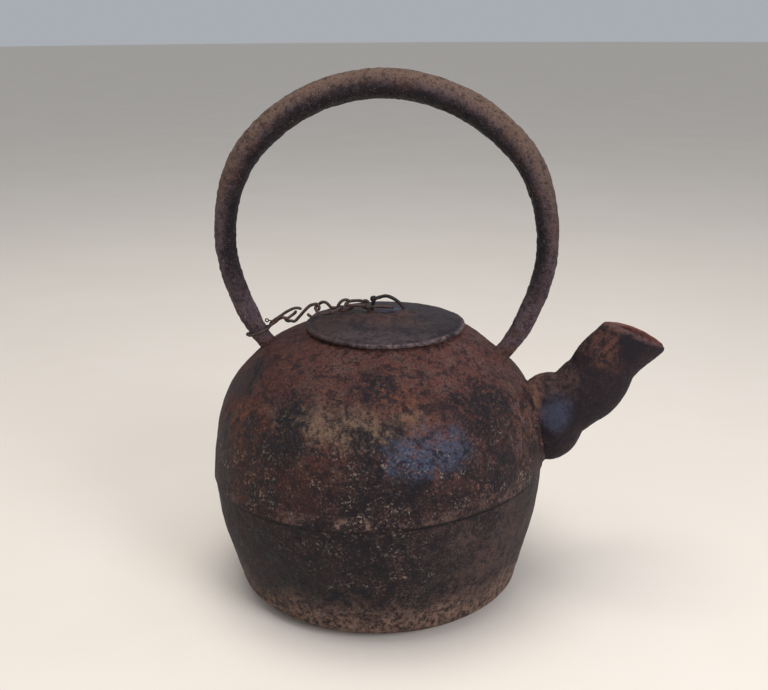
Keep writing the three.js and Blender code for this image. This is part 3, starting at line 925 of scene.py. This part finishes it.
def read_vectors(mesh, name):
    """One vector per vertex of a mesh."""
    values = np.zeros(len(mesh.vertices) * 3)
    mesh.vertices.foreach_get(name, values)
    return values.reshape(-1, 3)


def build_spout(material):
    spout = spout_form(0, "spout_shell")
    around = 96
    cavity, rings = pot_cavity(1.4, around)
    cut(spout, [
        spout_form(-SPOUT_WALL, "passage"),
        make_solid("cavity", cavity, capped(rings, around)),
        past_lip(),
        past_tip(),
    ])
    remesh = spout.modifiers.new("even", "REMESH")
    remesh.mode = "VOXEL"
    remesh.voxel_size = 0.8 * MM
    soften = spout.modifiers.new("soften", "SMOOTH")
    soften.iterations = 7
    apply_modifiers(spout)
    mesh = spout.data
    points = read_vectors(mesh, "co") / MM
    depth = 0.25 * noise(points, 24, 11) + 0.2 * noise(points, 9, 12) + 0.14 * noise(points, 3, 13)
    depth -= 0.4 * pits(points, 4, 14, 0.2) + 0.2
    points = points + read_vectors(mesh, "normal") * depth[:, None]
    mesh.vertices.foreach_set("co", (points * MM).ravel())
    mesh.update()
    finish_piece(spout, "kettle", ["spout"], material)


# ---------- Handle

def hoop_line(count):
    """Middle and radius of the bar, from the chain's side over the top to the spout's side."""
    angles = [min(30 * i, HOOP_END_ANGLE) for i in range(len(HOOP_RADII))]
    sides = []
    for side in (-1, 1):
        points = []
        for radius, extra, angle in zip(HOOP_RADII, HOOP_SPOUT_SIDE, angles):
            reach = radius + (extra if side > 0 else 0)
            turn = math.radians(angle)
            points.append((HOOP_X + side * reach * math.sin(turn), 0, HOOP_Z + reach * math.cos(turn)))
        sides.append(points)
    line = smooth_line([*reversed(sides[0]), *sides[1][1:]], count)
    from_top = np.abs(np.linspace(-1, 1, count)) * HOOP_END_ANGLE
    radius = HOOP_TOP_RADIUS - smoothstep(from_top, 40, 95) * (HOOP_TOP_RADIUS - HOOP_SIDE_RADIUS)
    radius = radius - smoothstep(from_top, 114, 128) * (HOOP_SIDE_RADIUS - HOOP_FOOT_RADIUS)
    return line, radius


def build_hoop(material):
    around, rings = 56, 560
    line, radius = hoop_line(rings)
    points = tube(line, radius, radius, around)
    outward = points - np.repeat(line, around, axis=0)
    outward /= np.linalg.norm(outward, axis=1, keepdims=True)
    depth = 0.25 * noise(points, 20, 21) + 0.28 * noise(points, 8, 22) + 0.42 * noise(points, 3.4, 23)
    depth -= 0.6 * pits(points, 4.5, 24, 0.35) + 0.2
    points = points + outward * depth[:, None]
    faces = capped(rings, around)
    make_piece("hoop", points, faces, "kettle", ["handle_hoop"], "hoop", material)


# ---------- Lid

STAPLE_LINE = [
    (-15, 0, 199.9), (-7.6, 0, 200.1), (-5.2, 0, 202.4), (-4.2, 0, 206), (-3.2, 0, 211),
    (-1.8, 0, 214.6), (1.8, 0, 216.2), (6.6, 0, 217.2), (12, 0, 215.2), (16.8, 0, 211.4),
    (19.8, 0, 207.2), (20.9, 0, 202.6), (23, 0, 200), (30, 0, 199.4),
]
# Swellings of the lid as (x, spread, height): at the staple's two feet, and under the chain.
SWELLINGS = [
    (STAPLE_LINE[2][0], 3.2, 1.8),
    (STAPLE_LINE[-3][0], 6.5, 3.2),
    (7, 15, 0.9),
]


def dome(radius):
    """Height of the lid's domed top."""
    return LID_EDGE + LID_DOME * (1 - (radius / LID_RADIUS) ** 2)


def lid_profile():
    """(radius, height) pairs from the underside's middle, round the edge, to the top's middle."""
    radii = np.concatenate([np.linspace(2, LID_RADIUS - 1, 34), [LID_RADIUS - 0.3, LID_RADIUS]])
    top = np.stack([radii, dome(radii) - np.where(radii > LID_RADIUS - 0.2, 0.5, 0)], axis=1)
    outer = np.array([LID_RADIUS, LID_RADIUS - 0.5, 55, 50, FLANGE_RADIUS + 0.2])
    under = np.stack([outer, dome(outer) - LID_SHEET], axis=1)
    under[0, 1] += 0.6
    bore = FLANGE_RADIUS - FLANGE_SHEET
    flange = [
        (FLANGE_RADIUS, FLANGE_TOP),
        (FLANGE_RADIUS, FLANGE_FOOT + 0.4),
        (FLANGE_RADIUS - 0.4, FLANGE_FOOT),
        (bore + 0.4, FLANGE_FOOT),
        (bore, FLANGE_FOOT + 0.4),
        (bore, FLANGE_TOP),
    ]
    inner = np.array([bore - 0.4, 34, 24, 14, 5])
    inner = np.stack([inner, dome(inner) - LID_SHEET], axis=1)
    return np.vstack([top, under, flange, inner])[::-1]


def build_lid(material):
    around = 240
    profile = lid_profile()
    points = turned(profile, around, lambda height: MOUTH_X)
    radius = np.hypot(points[:, 0] - MOUTH_X, points[:, 1])
    angle = np.arctan2(points[:, 1], points[:, 0] - MOUTH_X)
    spoke = np.stack([np.cos(angle), np.sin(angle), np.zeros(len(points))], axis=1)
    outer = smoothstep(radius, FLANGE_RADIUS + 0.5, LID_RADIUS)
    edge = spoke * 57
    ragged = 0.9 * noise(edge, 14, 31) + 0.45 * noise(edge, 5, 32) - 0.8
    ragged -= 1.6 * np.exp(-((angle - 2.3) / 0.35) ** 2)
    points = points + spoke * (outer * ragged)[:, None]
    waves = 0.5 * noise(points, 34, 33) + 0.26 * noise(points, 12, 34) + 0.1 * noise(points, 4, 35) - 0.3
    for x, spread, height in SWELLINGS:
        waves += height * np.exp(-((points[:, 0] - x) ** 2 + points[:, 1] ** 2) / spread ** 2)
    sheet = smoothstep(points[:, 2], FLANGE_TOP - 0.4, FLANGE_TOP + 0.2)
    sag = 0.7 * outer * sheet * np.exp(-((angle - 0.9) / 0.5) ** 2)
    points[:, 2] += waves * sheet - sag
    make_piece("lid_plate", points, capped(len(profile), around), "lid", ["lid"], "lid", material)


def curl(centre, radius, turns, rise, start):
    """Points of a small coil whose axis runs along Y."""
    angles = np.linspace(start, start + 2 * np.pi * turns, int(14 * turns))
    lift = np.linspace(-rise / 2, rise / 2, len(angles))
    return [
        (centre[0] + radius * math.cos(a), centre[1] + y, centre[2] + radius * math.sin(a))
        for a, y in zip(angles, lift)
    ]


def build_staple(material):
    arch = wire_mesh(STAPLE_LINE, STAPLE_WIRE, 41)
    knot = wire_mesh(curl((-2.9, 0, 215), 1.3, 2.2, 2.6, 0.4), 0.95, 42, 8, 0.3)
    make_piece("staple", *joined([arch, knot]), "lid", ["lid_staple"], "wire", material)


# ---------- Chain

# Where two wires cross, as (x, z) in the plane y = 0.
CROSSINGS = {
    "one": (-64.6, 199.2),
    "two": (-44.6, 207.4),
    "three": (-25.6, 208.2),
    "four": (-22.8, 210.2),
    "five": (-8.4, 210.8),
}
COLLAR_X = -86.9
COLLAR_Z = 188.7
COLLAR_RADIUS = 8.1
COLLAR_SLOPE = math.radians(20)


def eye(crossing, start, end, count):
    """Points of an eye round a crossing, in the plane y = 0, between two angles in degrees."""
    x, z = CROSSINGS[crossing]
    angles = np.radians(np.linspace(start, end, count))
    return [(x + EYE * math.cos(a), 0, z + EYE * math.sin(a)) for a in angles]


def across(crossing, shift, y, lift):
    """A point beside a crossing."""
    x, z = CROSSINGS[crossing]
    return (x + shift, y, z + lift)


def round_leg(start, end, count):
    """Points round the handle's leg in the collar's own plane."""
    points = []
    for angle in np.radians(np.linspace(start, end, count)):
        u = COLLAR_RADIUS * math.cos(angle)
        points.append((
            COLLAR_X + u * math.cos(COLLAR_SLOPE),
            COLLAR_RADIUS * math.sin(angle),
            COLLAR_Z + u * math.sin(COLLAR_SLOPE),
        ))
    return points


UPPER_STRAND = [
    (-55.6, 3.5, 204.8), (-57.8, 3.6, 205.6), (-60.6, 3.6, 205.5), (-63.8, 3.6, 204.2),
    (-67.4, 3.5, 202.2), (-71.2, 2.3, 199.6), (-75, 0.5, 197.3), (-78, 1.8, 194.6),
]
LOWER_STRAND = [
    (-77.8, -1.6, 193.6), (-74.7, -0.5, 195.6), (-70.8, -1.7, 198.9), (-67.4, -3, 200.1),
    across("one", -0.4, -2.4, 0.2),
    across("one", 0, 0, 0),
    across("one", 0.6, 2.4, 0.2),
    (-62.2, 3.6, 200.6), (-60.2, 3.7, 202.4), (-60.4, 3.5, 203.8),
]


def build_collar(material):
    line = [*UPPER_STRAND, *round_leg(25, 335, 14), *LOWER_STRAND]
    knot_x, _, knot_z = round_leg(180, 180, 1)[0]
    knot = curl((knot_x - 0.7, 0, knot_z - 0.2), 0.95, 1.6, 1.6, 0.0)
    end = [(-76.4, 0.6, 196.4), (-78.2, 0.4, 196.6), *curl((-80.7, 0.2, 196.8), 1.15, 1.1, 0.5, 0.2)]
    wires = joined([
        wire_mesh(line, COLLAR_WIRE, 51),
        wire_mesh(knot, 0.6, 52, 8, 0.3),
        wire_mesh(end, 0.5, 53, 8, 0.3),
    ])
    make_piece("collar_wire", *wires, "collar", ["handle_collar"], "wire", material)


LINK_LINES = {
    "link_1": [
        *eye("one", 178, 300, 5),
        (-60.4, 0, 196.7), (-57.2, 0, 199.8), (-52.4, 0, 205.2), (-48.8, 0, 208.6),
        *eye("two", 115, -60, 6),
    ],
    "link_2": [
        (-50, -4.8, 204), (-47.4, -5.4, 202.2), (-44.6, -5.1, 202), (-43, -3.4, 204.2),
        across("two", 0, -1.4, -0.1),
        across("two", 0, 1.4, 0.1),
        (-43.4, 3.6, 208.4), (-41.2, 4.3, 210), (-38.6, 4.5, 210.3), (-36.2, 4.3, 208.8),
        (-34, 4, 206.6), (-30, 3.7, 206.6), (-27.2, 2.8, 207.6),
        across("three", 0, 0, 0),
        (-27.2, -2.8, 207.6), (-29.8, -3.8, 206.4), (-33, -4.5, 205.1), (-37, -4.5, 204.2),
        (-40.2, -4.5, 203.8),
    ],
    "link_3": [
        (-16.9, 0, 208.8), (-19.8, 0, 206.9), (-23.8, 0, 205.5), (-27.2, 0, 205.8),
        (-28.4, 0, 208.2), (-27, 0, 211.2), (-24.6, 0, 213.2), (-21.8, 0, 213.6),
        (-19.8, 0, 212.6),
    ],
    "link_4": [
        (-16, 4.8, 212), (-11.6, 4.1, 211.9),
        across("five", 0, 0, 0),
        (-11.4, -4.2, 211), (-15.6, -4.9, 211.2), (-20, -4, 210.8),
        across("four", 0, 0, 0),
        (-21.6, 3.4, 211), (-19.4, 4.5, 211.6), (-14.6, 4.7, 212),
    ],
    "link_5": [
        *eye("five", 20, 265, 7),
        (-6.6, -2.2, 208.4), (-3.4, -4.3, 210), (2.6, -4.8, 210.7), (8.2, -4.2, 210.5),
        (10.8, -1, 209.2), (9.6, 3, 208.2), (4.6, 4.8, 207.8), (-1, 4.9, 207.8),
        (-5.4, 4.5, 208),
    ],
}


def build_links(material):
    for number, (name, line) in enumerate(LINK_LINES.items()):
        wire = wire_mesh(line, WIRE, 61 + 3 * number)
        make_piece("wire_" + name, *wire, name, [name], "wire", material)


# ---------- Studio

# The camera and the lamps are in metres.
CAMERA_PLACE = Vector((0.0852, -0.7062, 0.4085))
CAMERA_TOWARD = Vector((-0.10796, 0.94610, -0.30536))
CAMERA_ROLL = math.radians(-0.34)
CAMERA_LENS = 48.53


def add_camera():
    data = bpy.data.cameras.new("camera")
    data.lens = CAMERA_LENS
    data.sensor_width = 36
    data.clip_start = 0.01
    camera = add_object("camera", data)
    turn = CAMERA_TOWARD.to_track_quat("-Z", "Y").to_matrix().to_4x4()
    camera.matrix_world = Matrix.Translation(CAMERA_PLACE) @ turn @ Matrix.Rotation(CAMERA_ROLL, 4, "Z")
    bpy.context.scene.camera = camera


def add_lamp(name, place, size, watts, tint):
    data = bpy.data.lights.new(name, "AREA")
    data.shape = "DISK"
    data.size = size
    data.energy = watts
    data.color = tint
    lamp = add_object(name, data)
    lamp.location = place
    aim = Vector((0, 0, 0.12)) - Vector(place)
    lamp.rotation_euler = aim.to_track_quat("-Z", "Y").to_euler()


def add_studio():
    world = bpy.data.worlds.new("room")
    world.use_nodes = True
    background = world.node_tree.nodes["Background"]
    background.inputs["Color"].default_value = (0.88, 0.93, 1.0, 1.0)
    background.inputs["Strength"].default_value = 0.45
    bpy.context.scene.world = world
    bpy.context.scene.view_settings.view_transform = "Standard"
    add_lamp("overhead", (-0.1, -0.1, 1.7), 1.1, 16, (1.0, 0.965, 0.93))
    add_lamp("window_right", (1.05, -1.0, 0.8), 0.7, 12.5, (0.92, 0.94, 1.0))
    add_lamp("window_left", (-1.2, -0.9, 0.9), 0.9, 0.8, (1.0, 0.93, 0.86))


def add_floor(material):
    """A wide disc of pale paper."""
    around = 64
    radii = [0.02, 0.5, 1.5, 5, 15]
    angles = np.linspace(0, 2 * np.pi, around, endpoint=False)
    points = [(r * math.cos(a), r * math.sin(a), 0) for r in radii for a in angles]
    mesh = bpy.data.meshes.new("floor")
    mesh.from_pydata(points, [], [tuple(range(around)), *ring_faces(len(radii), around)])
    mesh.materials.append(material)
    add_object("floor", mesh)


rusty_wire = wire_material()
build_pot(pot_material())
build_spout(spout_material())
build_hoop(hoop_material())
build_lid(lid_material())
build_staple(staple_material())
build_collar(rusty_wire)
build_links(rusty_wire)
add_floor(floor_material())
add_studio()
add_camera()
